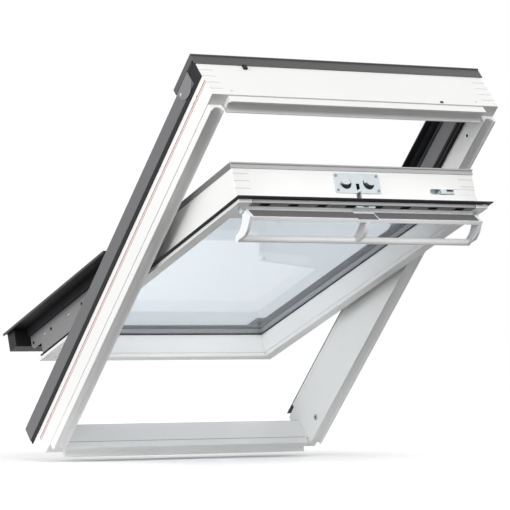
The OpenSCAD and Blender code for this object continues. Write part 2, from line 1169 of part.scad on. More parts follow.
// plate from the flap down to the handle bar, rounded in front and hollowed behind for the fingers
module handle_web(near) {
  difference() {
    polygon(concat(
      [[near, -flap_half], [flap_long, -flap_half]],
      web_front,
      [[bar_f + web_half, -bar_n], [bar_f - web_half, -bar_n]]
    ));
    translate([web_f, -web_n])
      circle(r = web_r);
  }
}

module handle_ends() {
  color("white")
    on_flap()
      both_sides() {
        across(flap_x, flap_x + bar_cap)
          handle_web(end_near);
        box(flap_x, flap_x + bar_cap, -flap_half, flap_half, filter_low, flap_long);
        rod_x(bar_r, flap_x, flap_x + bar_cap, -bar_n, bar_f);
      }
}

module handle_bracket() {
  color("whitesmoke")
    on_flap()
      difference() {
        across(-bracket_half, bracket_half)
          handle_web(bracket_near);
        rod_x(bar_r, -bracket_half - 1, bracket_half + 1, -bar_n, bar_f);
      }
}

// barrel bolt and latch

module barrel_bolt() {
  color("silver")
    on_sash()
      rod_x(bolt_r, knob_x, bolt_end, bolt_w, bolt_v);
}

module bolt_knob() {
  color("silver")
    on_sash()
      difference() {
        box(knob_x + knob_in, knob_x + knob_in + knob_long, bolt_w - knob_half, bolt_w + knob_half,
          bolt_v - knob_low, body_high + knob_high);
        rod_x(bolt_r, knob_x, knob_x + 2 * knob_in + knob_long, bolt_w, bolt_v);
      }
}

module lock_latch() {
  color("silver")
    on_sash()
      difference() {
        union() {
          rod_x(latch_r, -latch_half, latch_half, latch_w, latch_v);
          box(-latch_half, latch_half, latch_w - latch_arm, latch_w + latch_arm, latch_v,
            latch_v + latch_reach);
        }
        rod_x(latch_pin_r + run_fit, -latch_half - 1, latch_half + 1, latch_w, latch_v);
      }
}

frame_top_rail();
frame_bottom_rail();
frame_left_jamb();
frame_right_jamb();
frame_top_cover();
frame_left_cover();
frame_right_cover();
frame_bottom_cover();
frame_side_gaskets();
cover_tabs();
tab_screws();
top_clips();
upper_side_covers();
upper_side_seals();
jamb_stop_plates();
jamb_stop_gaskets();
pivot_guides();
guide_screws();
bolt_bushes();
striker();
sash_top_rail();
sash_bottom_rail();
sash_left_stile();
sash_right_stile();
vent_profile();
inner_pane();
outer_pane();
glass_spacer();
inner_glazing_seal();
outer_glazing_seal();
sash_top_cover();
sash_left_cover();
sash_right_cover();
sash_left_wing();
sash_right_wing();
sash_bottom_cover();
sash_tail_profile();
sash_side_plates();
wing_seals();
plate_screws();
sash_gasket();
pivot_arms();
lock_plate();
lock_body();
lock_screws();
latch_pin();
bolt_channel();
bolt_housing();
lock_case();
flap_rod();
vent_flap();
flap_filter();
handle_bar();
handle_ends();
handle_bracket();
barrel_bolt();
bolt_knob();
lock_latch();
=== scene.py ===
import json
import math

import bpy
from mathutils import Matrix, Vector


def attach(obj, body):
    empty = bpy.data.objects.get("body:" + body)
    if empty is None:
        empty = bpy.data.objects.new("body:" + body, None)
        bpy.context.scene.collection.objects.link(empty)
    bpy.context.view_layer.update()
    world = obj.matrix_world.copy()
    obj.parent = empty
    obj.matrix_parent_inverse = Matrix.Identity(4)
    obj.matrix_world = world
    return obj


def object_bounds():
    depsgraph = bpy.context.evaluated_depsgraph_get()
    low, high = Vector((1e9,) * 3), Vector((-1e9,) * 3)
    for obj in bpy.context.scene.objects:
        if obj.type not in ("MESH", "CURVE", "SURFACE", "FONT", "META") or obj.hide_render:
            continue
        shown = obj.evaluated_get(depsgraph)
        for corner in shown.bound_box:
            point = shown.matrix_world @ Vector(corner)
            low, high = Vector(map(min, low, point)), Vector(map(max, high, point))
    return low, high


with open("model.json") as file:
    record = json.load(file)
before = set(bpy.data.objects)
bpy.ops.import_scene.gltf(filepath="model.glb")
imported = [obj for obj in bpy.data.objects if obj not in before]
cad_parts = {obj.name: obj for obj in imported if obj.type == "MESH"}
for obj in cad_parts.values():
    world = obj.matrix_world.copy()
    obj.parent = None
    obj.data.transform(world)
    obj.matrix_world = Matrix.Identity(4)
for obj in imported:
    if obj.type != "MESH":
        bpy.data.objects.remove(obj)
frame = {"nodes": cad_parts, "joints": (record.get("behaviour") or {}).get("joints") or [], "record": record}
cad_low, cad_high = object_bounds()

MM = 0.001
NODES = frame["nodes"]
JOINTS = {joint["name"]: joint for joint in frame["joints"]}
MOUNTS = {mount["name"]: mount for mount in frame["record"]["mounts"]}
SLOT_OF = {part["node"]: part["material_slot"] for part in frame["record"]["subparts"]}

# how the window stands: the roof's slope, the sash turned open on it, the flap turned on the sash
FACE_DOWN = Vector(MOUNTS["bottom_face"]["axis"])
ROOF_TURN = math.atan2(FACE_DOWN.y, -FACE_DOWN.z)
OPEN_TURN = -math.radians(JOINTS["sash_pivot"]["range_deg"][0])
SASH_TURN = ROOF_TURN + OPEN_TURN
FLAP_TURN = SASH_TURN - math.radians(JOINTS["flap_hinge"]["range_deg"][0])
PIVOT = Vector(JOINTS["sash_pivot"]["pos_m"])
HINGE = Vector(JOINTS["flap_hinge"]["pos_m"])

# a place on the frame or the closed sash: out towards the sky, and up the slope from the foot
PIVOT_PLACE = (110 * MM, 589 * MM)

# filter fleece in the flap's pocket, measured from the flap's hinge
LINER_HALF = 28.6 * MM
LINER_OUT = (2.9 * MM, 3.4 * MM)
LINER_RISE = (7.4 * MM, 36.4 * MM)

# timber under the side covers
FILLET_SIDES = (355 * MM, 389 * MM)
FILLET_OUT = (105 * MM, 114.5 * MM)
FILLET_RISE = (37 * MM, 500 * MM)

# rubber lip round the sash's gasket
LIP_SIDES = (338 * MM, 347 * MM)
LIP_TOP = (1116 * MM, 1131 * MM)
LIP_LOW = 660 * MM
LIP_OUT = (29 * MM, 31 * MM)

# black sheet on the lock's case: painted shade for the case's dark opening
OPENING_SHADE_HALF = 7 * MM
OPENING_SHADE_OUT = (16.6 * MM, 19 * MM)
OPENING_SHADE_RISE = (1112.6 * MM, 1112.9 * MM)

# where painted shade darkens the wings' hollow, and where the painted shade in the vent's slots starts
HOLLOW_FROM = 82 * MM
HOLLOW_TO = 112 * MM
WING_EDGE = 388 * MM
SLOT_START = 20.5 * MM
SLOT_END = 1112.5 * MM

# lines on the timber: place out from the lining strip's seam, half width, colour
JAMB_OUTSIDE = 389.5 * MM
MARKER_LINES = (
    (70 * MM, 1.5 * MM, (0.66, 0.69, 0.90)),
    (47 * MM, 1.3 * MM, (0.10, 0.025, 0.022)),
    (41.4 * MM, 1.5 * MM, (0.62, 0.24, 0.22)),
)
SEAM_LINE = ((0.0, 0.9 * MM, (0.30, 0.30, 0.30)),)

# finger joints in the corners
FINGER_COUNT = 4
FINGER_HALF = 0.7 * MM
FINGER_GREY = (0.42, 0.42, 0.42)
FRAME_FINGER_FROM = 354 * MM
FRAME_FINGER_LOW = 0.0
FRAME_FINGER_STEP = 21 * MM
SASH_FINGER_FROM = 287 * MM
SASH_FINGER_LOW = 28 * MM
SASH_FINGER_STEP = 18 * MM

# colours of finishes that more than one material has, or that change over a piece
WHITE_PAINT = (0.86, 0.86, 0.85)
# painted highlight along the white coat's edges
WHITE_PAINT_HIGHLIGHT = (0.90, 0.90, 0.89)
# a lighter copy of the grey lacquer: painted light on the sash's wings and side plates, with a painted
# highlight on their edges
LIT_PLATE_GREY = (0.22, 0.22, 0.225)
LIT_PLATE_GREY_HIGHLIGHT = (0.28, 0.28, 0.285)
# painted shade, near black, in the wings' hollow
HOLLOW_SHADE = (0.012, 0.012, 0.013)
VENT_GREY = (0.44, 0.44, 0.45)
# painted shade on the vent's underside and inside its slots
VENT_UNDERSIDE_SHADE = (0.16, 0.16, 0.165)
SLOT_SHADE = (0.03, 0.03, 0.032)
GLASS_TINT = (0.80, 0.835, 0.865)
GLASS_SHADOW = (0.94, 0.945, 0.95, 1.0)
GLASS_INDEX = 1.2
WHITE = (1.0, 1.0, 1.0)

# how coats and plating lie on a surface
GLOSS_SWING = 0.12
PEEL_STRENGTH = 0.25
PEEL_DEPTH = 0.06 * MM
PLATED_METAL = 0.85
STREAK_SWING = 0.2
STREAK_STRENGTH = 0.3
STREAK_DEPTH = 0.05 * MM
SAME_WAY = 0.9

# rounds on the solids' edges, by finish
WELD_REACH = 0.01 * MM
ROUND_SEGMENTS = 2
ROUND_ANGLE = math.radians(40)
EDGE_ROUNDS = {
    "white_timber": 1.2 * MM,
    "grey_aluminium": 0.6 * MM,
    "grey_lacquer": 0.6 * MM,
    "black_rubber": 0.7 * MM,
    "zinc_steel": 0.4 * MM,
    "clear_glass": 0.4 * MM,
    "grey_spacer": 0.3 * MM,
    "white_plastic": 0.8 * MM,
    "white_aluminium": 0.8 * MM,
    "black_plastic": 0.5 * MM,
    "grey_filter": 0.3 * MM,
}

# the photograph's camera
CAMERA_PLACE = (-3.7169, -6.7229, 0.2957)
CAMERA_TILT = math.radians(91.316)
CAMERA_TURN = math.radians(-30.365)
CAMERA_LENS = 212.7
CAMERA_SENSOR = 36.0

# floor and sky: the floor is brighter round the window's foot, and glows less there, so its shadow shows
FLOOR_DROP = 12 * MM
FLOOR_SIZE = 40.0
FLOOR_TONE = 0.12
FOOT_TONE = 0.9
FLOOR_GLOW = 0.93
FOOT_GLOW = 0.15
FOOT_REACH = (0.2, 0.9)
FLOOR_ROUGHNESS = 0.9
FLOOR_SPECULAR = 0.1
SKY_LIGHT = 0.35

# soft lamps: name, place from the window's middle, power
LAMP_SIZE = (3.0, 3.0)
LAMPS = (
    ("left", (-5.6, -1.5, 1.6), 205.0),
    ("left_back", (-5.2, 1.2, 2.2), 90.0),
    ("front", (-0.65, -4.9, 4.2), 190.0),
    ("right", (4.5, 0.5, 3.0), 60.0),
)

# a weak narrow lamp on the sash's front and the handle
SASH_LAMP_PLACE = (0.0, -3.3, 1.2)
SASH_LAMP_AIM = (0.0, -0.87, 0.54)
SASH_LAMP_SIZE = (0.62, 0.14)
SASH_LAMP_POWER = 0.16
SASH_LAMP_SPREAD = math.radians(8)


# slopes

def across(turn):
    """The way out of a slope that is turned by this much."""
    return Vector((0.0, math.cos(turn), math.sin(turn)))


def up(turn):
    """The way up a slope that is turned by this much."""
    return Vector((0.0, -math.sin(turn), math.cos(turn)))


def slope_point(start, turn, side, out, rise):
    return start + Vector((side, 0.0, 0.0)) + across(turn) * out + up(turn) * rise


# node groups for what several finishes share

def new_group(name, inputs, outputs):
    group = bpy.data.node_groups.new(name, "ShaderNodeTree")
    for label, kind, value in inputs:
        socket = group.interface.new_socket(label, in_out="INPUT", socket_type=kind)
        if value is not None:
            socket.default_value = value
    for label, kind in outputs:
        group.interface.new_socket(label, in_out="OUTPUT", socket_type=kind)
    entry = group.nodes.new("NodeGroupInput")
    leave = group.nodes.new("NodeGroupOutput")
    return group, entry, leave


def math_node(tree, operation, first, second=None, clamp=False):
    node = tree.nodes.new("ShaderNodeMath")
    node.operation = operation
    node.use_clamp = clamp
    for slot, value in enumerate((first, second)):
        if value is None:
            continue
        if isinstance(value, (int, float)):
            node.inputs[slot].default_value = value
        else:
            tree.links.new(value, node.inputs[slot])
    return node.outputs[0]


def dot_node(tree, first, second):
    node = tree.nodes.new("ShaderNodeVectorMath")
    node.operation = "DOT_PRODUCT"
    tree.links.new(first, node.inputs[0])
    tree.links.new(second, node.inputs[1])
    return node.outputs["Value"]


def noise_node(tree, vector, scale, detail, rough=0.5):
    node = tree.nodes.new("ShaderNodeTexNoise")
    node.inputs["Detail"].default_value = detail
    node.inputs["Roughness"].default_value = rough
    tree.links.new(scale, node.inputs["Scale"])
    tree.links.new(vector, node.inputs["Vector"])
    return node.outputs["Fac"]


def own_place(tree):
    """A point's place in its piece's own frame, which turns with the piece."""
    return tree.nodes.new("ShaderNodeTexCoord").outputs["Object"]


def make_coat_mottle():
    """Slow tone changes over a coat, and the fine unevenness of its surface."""
    group, entry, leave = new_group(
        "coat_mottle",
        [("Slow Scale", "NodeSocketFloat", 5.0), ("Fine Scale", "NodeSocketFloat", 700.0),
         ("Amount", "NodeSocketFloat", 0.06)],
        [("Tone", "NodeSocketFloat"), ("Height", "NodeSocketFloat"), ("Gloss", "NodeSocketFloat")])
    place = own_place(group)
    slow = noise_node(group, place, entry.outputs["Slow Scale"], 4.0, 0.6)
    fine = noise_node(group, place, entry.outputs["Fine Scale"], 2.0)
    shift = math_node(group, "SUBTRACT", slow, 0.5)
    swing = math_node(group, "MULTIPLY", shift, entry.outputs["Amount"])
    group.links.new(math_node(group, "ADD", swing, 1.0), leave.inputs["Tone"])
    group.links.new(fine, leave.inputs["Height"])
    group.links.new(math_node(group, "MULTIPLY", slow, GLOSS_SWING), leave.inputs["Gloss"])
    return group


def make_edge_mask():
    """White along the outer edges, where a highlight is painted on the coat."""
    group, entry, leave = new_group(
        "edge_mask",
        [("Radius", "NodeSocketFloat", 1.5 * MM), ("Strength", "NodeSocketFloat", 4.0)],
        [("Mask", "NodeSocketFloat")])
    bevel = group.nodes.new("ShaderNodeBevel")
    bevel.samples = 4
    group.links.new(entry.outputs["Radius"], bevel.inputs["Radius"])
    geometry = group.nodes.new("ShaderNodeNewGeometry")
    along = dot_node(group, bevel.outputs["Normal"], geometry.outputs["Normal"])
    away = math_node(group, "SUBTRACT", 1.0, along)
    mask = math_node(group, "MULTIPLY", away, entry.outputs["Strength"], clamp=True)
    group.links.new(mask, leave.inputs["Mask"])
    return group


def make_brushing():
    """Fine streaks along X, as a drawn or rolled metal has."""
    group, entry, leave = new_group(
        "brushing",
        [("Stretch", "NodeSocketFloat", 30.0), ("Scale", "NodeSocketFloat", 900.0)],
        [("Streak", "NodeSocketFloat")])
    parts = group.nodes.new("ShaderNodeSeparateXYZ")
    group.links.new(own_place(group), parts.inputs[0])
    joined = group.nodes.new("ShaderNodeCombineXYZ")
    slow = math_node(group, "DIVIDE", parts.outputs["X"], entry.outputs["Stretch"])
    group.links.new(slow, joined.inputs["X"])
    group.links.new(parts.outputs["Y"], joined.inputs["Y"])
    group.links.new(parts.outputs["Z"], joined.inputs["Z"])
    streak = noise_node(group, joined.outputs[0], entry.outputs["Scale"], 3.0)
    group.links.new(streak, leave.inputs["Streak"])
    return group


def make_slope_place():
    """Places out of and up a slope through the sash's pivot, in metres."""
    group, entry, leave = new_group(
        "slope_place",
        [("Across", "NodeSocketVector", None), ("Up", "NodeSocketVector", None)],
        [("Level", "NodeSocketFloat"), ("Rise", "NodeSocketFloat")])
    from_pivot = group.nodes.new("ShaderNodeVectorMath")
    from_pivot.operation = "SUBTRACT"
    group.links.new(own_place(group), from_pivot.inputs[0])
    from_pivot.inputs[1].default_value = PIVOT
    for way, place, start in zip(("Across", "Up"), ("Level", "Rise"), PIVOT_PLACE):
        along = dot_node(group, from_pivot.outputs["Vector"], entry.outputs[way])
        group.links.new(math_node(group, "ADD", along, start), leave.inputs[place])
    return group


def make_face_mask():
    """White on the faces that look one way in the piece's own frame, so that it turns with the piece."""
    group, entry, leave = new_group(
        "face_mask", [("Direction", "NodeSocketVector", None)], [("Mask", "NodeSocketFloat")])
    own = group.nodes.new("ShaderNodeVectorTransform")
    own.vector_type = "NORMAL"
    own.convert_from = "WORLD"
    own.convert_to = "OBJECT"
    group.links.new(group.nodes.new("ShaderNodeNewGeometry").outputs["True Normal"], own.inputs[0])
    turned = dot_node(group, own.outputs[0], entry.outputs["Direction"])
    group.links.new(math_node(group, "GREATER_THAN", turned, SAME_WAY), leave.inputs["Mask"])
    return group


def make_side_mask():
    """White where a point lies further out to either side than Start."""
    group, entry, leave = new_group(
        "side_mask", [("Start", "NodeSocketFloat", 0.0)], [("Mask", "NodeSocketFloat")])
    sides = group.nodes.new("ShaderNodeSeparateXYZ")
    group.links.new(own_place(group), sides.inputs[0])
    out = math_node(group, "ABSOLUTE", sides.outputs["X"])
    group.links.new(math_node(group, "GREATER_THAN", out, entry.outputs["Start"]), leave.inputs["Mask"])
    return group


def make_line_mask():
    """White along a line at one level, where the second mask lets it show."""
    group, entry, leave = new_group(
        "line_mask",
        [("Level", "NodeSocketFloat", 0.0), ("Place", "NodeSocketFloat", 0.0),
         ("Half", "NodeSocketFloat", 1 * MM), ("Where", "NodeSocketFloat", 1.0)],
        [("Mask", "NodeSocketFloat")])
    near = math_node(group, "COMPARE", entry.outputs["Level"], entry.outputs["Place"])
    group.links.new(entry.outputs["Half"], near.node.inputs[2])
    group.links.new(math_node(group, "MULTIPLY", near, entry.outputs["Where"]), leave.inputs["Mask"])
    return group


COAT_MOTTLE = make_coat_mottle()
EDGE_MASK = make_edge_mask()
BRUSHING = make_brushing()
SLOPE_PLACE = make_slope_place()
FACE_MASK = make_face_mask()
SIDE_MASK = make_side_mask()
LINE_MASK = make_line_mask()


def place_group(tree, group, **values):
    node = tree.nodes.new("ShaderNodeGroup")
    node.node_tree = group
    for label, value in values.items():
        socket = node.inputs[label.replace("_", " ")]
        if isinstance(value, bpy.types.NodeSocket):
            tree.links.new(value, socket)
        else:
            socket.default_value = value
    return node


# finishes

def new_material(name):
    material = bpy.data.materials.new(name)
    material.use_nodes = True
    return material, material.node_tree, material.node_tree.nodes["Principled BSDF"]


def tint(tree, colour, factor):
    node = tree.nodes.new("ShaderNodeVectorMath")
    node.operation = "SCALE"
    node.inputs[0].default_value = colour
    tree.links.new(factor, node.inputs["Scale"])
    return node.outputs["Vector"]


def mix_colour(tree, mask, first, second):
    node = tree.nodes.new("ShaderNodeMix")
    node.data_type = "RGBA"
    tree.links.new(mask, node.inputs["Factor"])
    for label, value in (("A", first), ("B", second)):
        socket = next(s for s in node.inputs if s.name == label and s.type == "RGBA")
        if isinstance(value, tuple):
            socket.default_value = value + (1.0,)
        else:
            tree.links.new(value, socket)
    return next(s for s in node.outputs if s.type == "RGBA")


def bump(tree, shader, height, strength, distance):
    node = tree.nodes.new("ShaderNodeBump")
    node.inputs["Strength"].default_value = strength
    node.inputs["Distance"].default_value = distance
    tree.links.new(height, node.inputs["Height"])
    tree.links.new(node.outputs["Normal"], shader.inputs["Normal"])


def highlit_colour(tree, mottle, colour, highlight_colour):
    """A coat's colour, mottled, with a painted highlight along the piece's edges."""
    edge = place_group(tree, EDGE_MASK)
    body = tint(tree, colour, mottle.outputs["Tone"])
    return mix_colour(tree, edge.outputs["Mask"], body, highlight_colour)


def coat_gloss(tree, shader, mottle, roughness):
    rough = math_node(tree, "ADD", mottle.outputs["Gloss"], roughness - GLOSS_SWING / 2)
    tree.links.new(rough, shader.inputs["Roughness"])


def coated(name, colour, highlight_colour, roughness, amount=0.06, fine=700.0, peel=PEEL_DEPTH, metallic=0.0,
           specular=0.5):
    """A coat of paint, lacquer or plastic: mottled, faintly uneven, with a painted highlight along its edges.
    """
    material, tree, shader = new_material(name)
    mottle = place_group(tree, COAT_MOTTLE, Fine_Scale=fine, Amount=amount)
    tree.links.new(highlit_colour(tree, mottle, colour, highlight_colour), shader.inputs["Base Color"])
    coat_gloss(tree, shader, mottle, roughness)
    shader.inputs["Metallic"].default_value = metallic
    shader.inputs["Specular IOR Level"].default_value = specular
    bump(tree, shader, mottle.outputs["Height"], PEEL_STRENGTH, peel)
    return material


def plated(name, colour, roughness):
    """Zinc plate: bright, faintly clouded and drawn along its length."""
    material, tree, shader = new_material(name)
    mottle = place_group(tree, COAT_MOTTLE, Slow_Scale=60.0, Fine_Scale=1500.0, Amount=0.18)
    streak = place_group(tree, BRUSHING)
    tree.links.new(tint(tree, colour, mottle.outputs["Tone"]), shader.inputs["Base Color"])
    shader.inputs["Metallic"].default_value = PLATED_METAL
    rough = math_node(tree, "MULTIPLY_ADD", streak.outputs["Streak"], STREAK_SWING)
    rough.node.inputs[2].default_value = roughness - STREAK_SWING / 2
    tree.links.new(rough, shader.inputs["Roughness"])
    bump(tree, shader, streak.outputs["Streak"], STREAK_STRENGTH, STREAK_DEPTH)
    return material


def draw_lines(tree, colour, level, where, lines):
    for place, half, shade in lines:
        line = place_group(tree, LINE_MASK, Level=level, Place=place, Half=half, Where=where)
        colour = mix_colour(tree, line.outputs["Mask"], colour, shade)
    return colour


def finger_lines(low, step):
    return tuple((low + step * k, FINGER_HALF, FINGER_GREY) for k in range(1, FINGER_COUNT + 1))


def timber_coat(name, turn, finger_from, fingers, marker_lines=(), seam=()):
    """White coat on timber, with the corners' finger joints and what is drawn along the flanks."""
    material, tree, shader = new_material(name)
    mottle = place_group(tree, COAT_MOTTLE)
    level = place_group(tree, SLOPE_PLACE, Across=across(turn), Up=up(turn)).outputs["Level"]
    top = place_group(tree, FACE_MASK, Direction=up(turn)).outputs["Mask"]
    outside = place_group(tree, SIDE_MASK, Start=JAMB_OUTSIDE).outputs["Mask"]
    ends = place_group(tree, SIDE_MASK, Start=finger_from).outputs["Mask"]
    corner = math_node(tree, "MULTIPLY", top, ends)
    colour = highlit_colour(tree, mottle, WHITE_PAINT, WHITE_PAINT_HIGHLIGHT)
    colour = draw_lines(tree, colour, level, corner, fingers)
    colour = draw_lines(tree, colour, level, outside, marker_lines)
    colour = draw_lines(tree, colour, level, top, seam)
    tree.links.new(colour, shader.inputs["Base Color"])
    coat_gloss(tree, shader, mottle, 0.38)
    bump(tree, shader, mottle.outputs["Height"], PEEL_STRENGTH, PEEL_DEPTH)
    return material


def shaded_lacquer():
    """Grey lacquer on the sash's wings and side plates, a lighter copy that paints light on them, with
    painted shade, near black, where the wing's hollow closes over it.
    """
    material, tree, shader = new_material("shaded_lacquer")
    mottle = place_group(tree, COAT_MOTTLE, Amount=0.12)
    place = place_group(tree, SLOPE_PLACE, Across=across(SASH_TURN), Up=up(SASH_TURN))
    depth = tree.nodes.new("ShaderNodeMapRange")
    depth.interpolation_type = "SMOOTHSTEP"
    depth.inputs["From Min"].default_value = HOLLOW_FROM
    depth.inputs["From Max"].default_value = HOLLOW_TO
    tree.links.new(place.outputs["Level"], depth.inputs["Value"])
    flat = place_group(tree, FACE_MASK, Direction=across(SASH_TURN)).outputs["Mask"]
    outer = place_group(tree, SIDE_MASK, Start=WING_EDGE).outputs["Mask"]
    hidden = math_node(tree, "SUBTRACT", 1.0, math_node(tree, "MAXIMUM", flat, outer))
    inside = math_node(tree, "MULTIPLY", depth.outputs["Result"], hidden)
    colour = highlit_colour(tree, mottle, LIT_PLATE_GREY, LIT_PLATE_GREY_HIGHLIGHT)
    tree.links.new(mix_colour(tree, inside, colour, HOLLOW_SHADE), shader.inputs["Base Color"])
    coat_gloss(tree, shader, mottle, 0.42)
    bump(tree, shader, mottle.outputs["Height"], PEEL_STRENGTH, PEEL_DEPTH)
    return material


def vent_finish():
    """Matt aluminium, with painted shade on its underside and painted shade inside the vent's slots."""
    material, tree, shader = new_material("vent_aluminium")
    mottle = place_group(tree, COAT_MOTTLE, Amount=0.08)
    body = tint(tree, VENT_GREY, mottle.outputs["Tone"])
    place = place_group(tree, SLOPE_PLACE, Across=across(SASH_TURN), Up=up(SASH_TURN))
    deep = math_node(tree, "GREATER_THAN", place.outputs["Level"], SLOT_START)
    behind = math_node(tree, "LESS_THAN", place.outputs["Rise"], SLOT_END)
    inside = math_node(tree, "MULTIPLY", deep, behind)
    under = place_group(tree, FACE_MASK, Direction=-across(SASH_TURN)).outputs["Mask"]
    colour = mix_colour(tree, under, body, VENT_UNDERSIDE_SHADE)
    tree.links.new(mix_colour(tree, inside, colour, SLOT_SHADE), shader.inputs["Base Color"])
    coat_gloss(tree, shader, mottle, 0.46)
    shader.inputs["Metallic"].default_value = 0.3
    return material


def clear_glass():
    """Clear glass that lets the lamps' light through to what stands behind it."""
    material, tree, shader = new_material("clear_glass")
    mottle = place_group(tree, COAT_MOTTLE, Slow_Scale=1.5, Amount=0.02)
    tree.links.new(tint(tree, GLASS_TINT, mottle.outputs["Tone"]), shader.inputs["Base Color"])
    shader.inputs["Roughness"].default_value = 0.0
    shader.inputs["IOR"].default_value = GLASS_INDEX
    shader.inputs["Transmission Weight"].default_value = 1.0
    see_through = tree.nodes.new("ShaderNodeBsdfTransparent")
    see_through.inputs["Color"].default_value = GLASS_SHADOW
    path = tree.nodes.new("ShaderNodeLightPath")
    mix = tree.nodes.new("ShaderNodeMixShader")
    tree.links.new(path.outputs["Is Shadow Ray"], mix.inputs[0])
    tree.links.new(shader.outputs[0], mix.inputs[1])
    tree.links.new(see_through.outputs[0], mix.inputs[2])
    tree.links.new(mix.outputs[0], tree.nodes["Material Output"].inputs["Surface"])
    return material


# the second colour of each coat is a painted highlight along its edges
WHITE_COAT = coated("white_coat", WHITE_PAINT, WHITE_PAINT_HIGHLIGHT, 0.38)
GREY_LACQUER = coated("grey_lacquer", (0.175, 0.175, 0.18), (0.25, 0.25, 0.255), 0.42, amount=0.12)
# darker and lighter copies of the grey lacquer: painted shade on the frame's covers, a painted highlight on
# the sash's top cover
DEEP_SHADE_LACQUER = coated("deep_shade_lacquer", (0.058, 0.058, 0.06), (0.11, 0.11, 0.115), 0.42, amount=0.12)
HALF_SHADE_LACQUER = coated("half_shade_lacquer", (0.112, 0.112, 0.117), (0.17, 0.17, 0.175), 0.42, amount=0.12)
LIT_LACQUER = coated("lit_lacquer", (0.46, 0.46, 0.465), (0.56, 0.56, 0.565), 0.40, amount=0.08)
SHADED_LACQUER = shaded_lacquer()
BLACK_RUBBER = coated("black_rubber", (0.012, 0.012, 0.014), (0.03, 0.03, 0.033), 0.62, amount=0.3,
                      fine=1600.0, specular=0.2)
BLACK_PLASTIC = coated("black_plastic", (0.012, 0.012, 0.013), (0.025, 0.025, 0.025), 0.5, amount=0.3,
                       fine=1200.0, specular=0.2)
WHITE_PLASTIC = coated("white_plastic", (0.84, 0.86, 0.87), (0.88, 0.90, 0.90), 0.30, amount=0.04)
WHITE_POWDER = coated("white_powder", (0.93, 0.93, 0.93), (0.95, 0.95, 0.95), 0.34, amount=0.04,
                      fine=1400.0)
FILTER_FLEECE = coated("filter_fleece", (0.12, 0.12, 0.124), (0.15, 0.15, 0.15), 0.85, amount=0.4, fine=900.0,
                       peel=0.6 * MM)
SPACER_METAL = coated("spacer_metal", (0.30, 0.31, 0.33), (0.4, 0.4, 0.42), 0.5, amount=0.1, metallic=0.4)
ZINC_PLATE = plated("zinc_plate", (0.58, 0.63, 0.645), 0.36)
DULL_ZINC = plated("dull_zinc", (0.26, 0.28, 0.29), 0.42)
VENT_ALUMINIUM = vent_finish()
CLEAR_GLASS = clear_glass()
FRAME_COAT = timber_coat("frame_coat", ROOF_TURN, FRAME_FINGER_FROM,
                         finger_lines(FRAME_FINGER_LOW, FRAME_FINGER_STEP), MARKER_LINES, SEAM_LINE)
SASH_COAT = timber_coat("sash_coat", SASH_TURN, SASH_FINGER_FROM,
                        finger_lines(SASH_FINGER_LOW, SASH_FINGER_STEP))

FINISHES = {
    "white_timber": WHITE_COAT,
    "grey_aluminium": VENT_ALUMINIUM,
    "grey_lacquer": GREY_LACQUER,
    "black_rubber": BLACK_RUBBER,
    "zinc_steel": ZINC_PLATE,
    "clear_glass": CLEAR_GLASS,
    "grey_spacer": SPACER_METAL,
    "white_plastic": WHITE_PLASTIC,
    "white_aluminium": WHITE_POWDER,
    "black_plastic": BLACK_PLASTIC,
    "grey_filter": FILTER_FLEECE,
}

# nodes whose finish isn't the usual one of their slot; the covers' darker and lighter lacquer copies paint
# shade and light into their colour
OWN_FINISHES = {
    "frame_top_cover": DEEP_SHADE_LACQUER,
    "upper_side_covers": DEEP_SHADE_LACQUER,
    "sash_top_cover": LIT_LACQUER,
    "frame_left_cover": HALF_SHADE_LACQUER,
    "frame_right_cover": HALF_SHADE_LACQUER,
    "sash_left_wing": SHADED_LACQUER,
    "sash_right_wing": SHADED_LACQUER,
    "sash_side_plates": SHADED_LACQUER,
    "plate_screws": BLACK_PLASTIC,
    "frame_top_rail": FRAME_COAT,
    "frame_bottom_rail": FRAME_COAT,
    "frame_left_jamb": FRAME_COAT,
    "frame_right_jamb": FRAME_COAT,
    "sash_top_rail": SASH_COAT,
    "sash_left_stile": SASH_COAT,
    "sash_right_stile": SASH_COAT,
    "lock_case": ZINC_PLATE,
    "lock_screws": DULL_ZINC,
}


def finish_nodes():
    for name, node in NODES.items():
        node.data.materials.clear()
        node.data.materials.append(OWN_FINISHES.get(name, FINISHES[SLOT_OF[name]]))


def soften(node, width):
    """Small round on a node's edges, as the real part's tooling leaves."""
    weld = node.modifiers.new("weld", "WELD")
    weld.merge_threshold = WELD_REACH
    round_edges = node.modifiers.new("round", "BEVEL")
    round_edges.width = width
    round_edges.segments = ROUND_SEGMENTS
    round_edges.limit_method = "ANGLE"
    round_edges.angle_limit = ROUND_ANGLE
    node.modifiers.new("normals", "WEIGHTED_NORMAL")


def round_nodes():
    for name, node in NODES.items():
        soften(node, EDGE_ROUNDS[SLOT_OF[name]])


# pieces that ride on the frame, the sash and the flap

def add_piece(name, corners, faces, material):
    mesh = bpy.data.meshes.new(name)
    mesh.from_pydata(corners, [], faces)
    mesh.materials.append(material)
    piece = bpy.data.objects.new(name, mesh)
    bpy.context.scene.collection.objects.link(piece)
    return piece


def turned_box(name, start, turn, sides, outs, rises, material):
    """A box given by its ends to the sides, out and up from start, turned with what it sits on."""
    corners = [slope_point(start, turn, side, out, rise) for side in sides for out in outs for rise in rises]
    faces = [(0, 1, 3, 2), (4, 6, 7, 5), (0, 4, 5, 1), (2, 3, 7, 6), (0, 2, 6, 4), (1, 5, 7, 3)]
    return add_piece(name, corners, faces, material)


def pivot_box(name, turn, sides, outs, rises, material):
    """A box whose ends out and up are places on the frame or the closed sash."""
    outs = [place - PIVOT_PLACE[0] for place in outs]
    rises = [place - PIVOT_PLACE[1] for place in rises]
    return turned_box(name, PIVOT, turn, sides, outs, rises, material)


